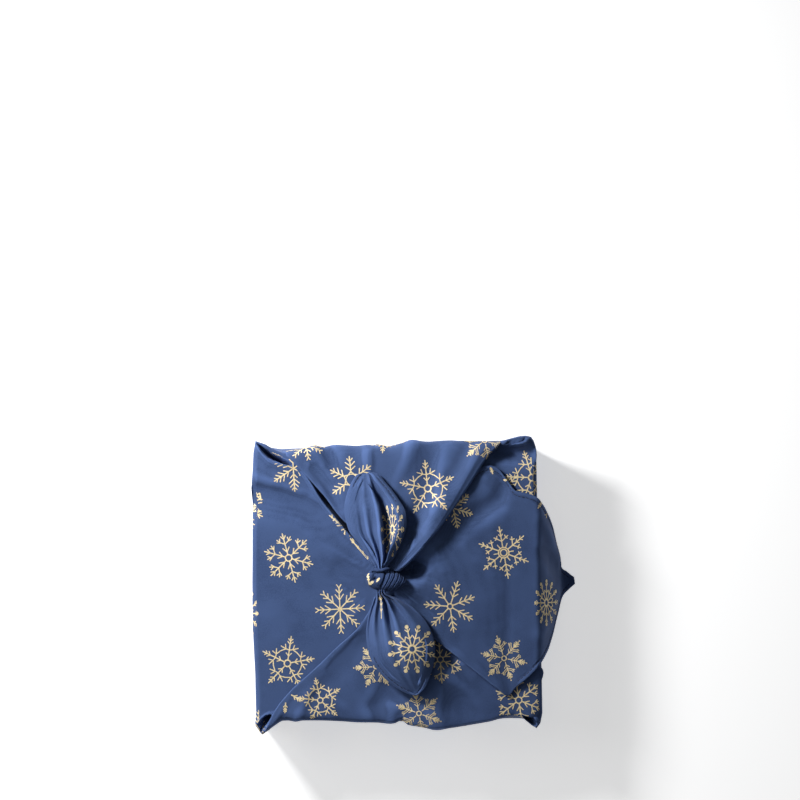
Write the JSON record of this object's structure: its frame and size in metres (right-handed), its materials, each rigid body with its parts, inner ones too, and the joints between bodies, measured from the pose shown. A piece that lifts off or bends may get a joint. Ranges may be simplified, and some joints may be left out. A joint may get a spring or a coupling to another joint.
{
  "type": "furoshiki wrap",
  "caption": "Square cotton cloth wrapped round a flat square box, knotted on its face with a free tail up and down and a corner flap over one edge.",
  "frame": {"origin": "centre of the wrapped box's footprint, on the flat underside", "axes": "+Z out of the knotted face, +Y up the face as pictured, +X towards the edge that the corner flap hangs over"},
  "size_m": [0.2922, 0.2692, 0.0829],
  "materials": {
    "cloth": "woven cotton, navy with a gold snowflake print"
  },
  "bodies": {
    "root": {"wrap": "cloth"}
  },
  "joints": []
}
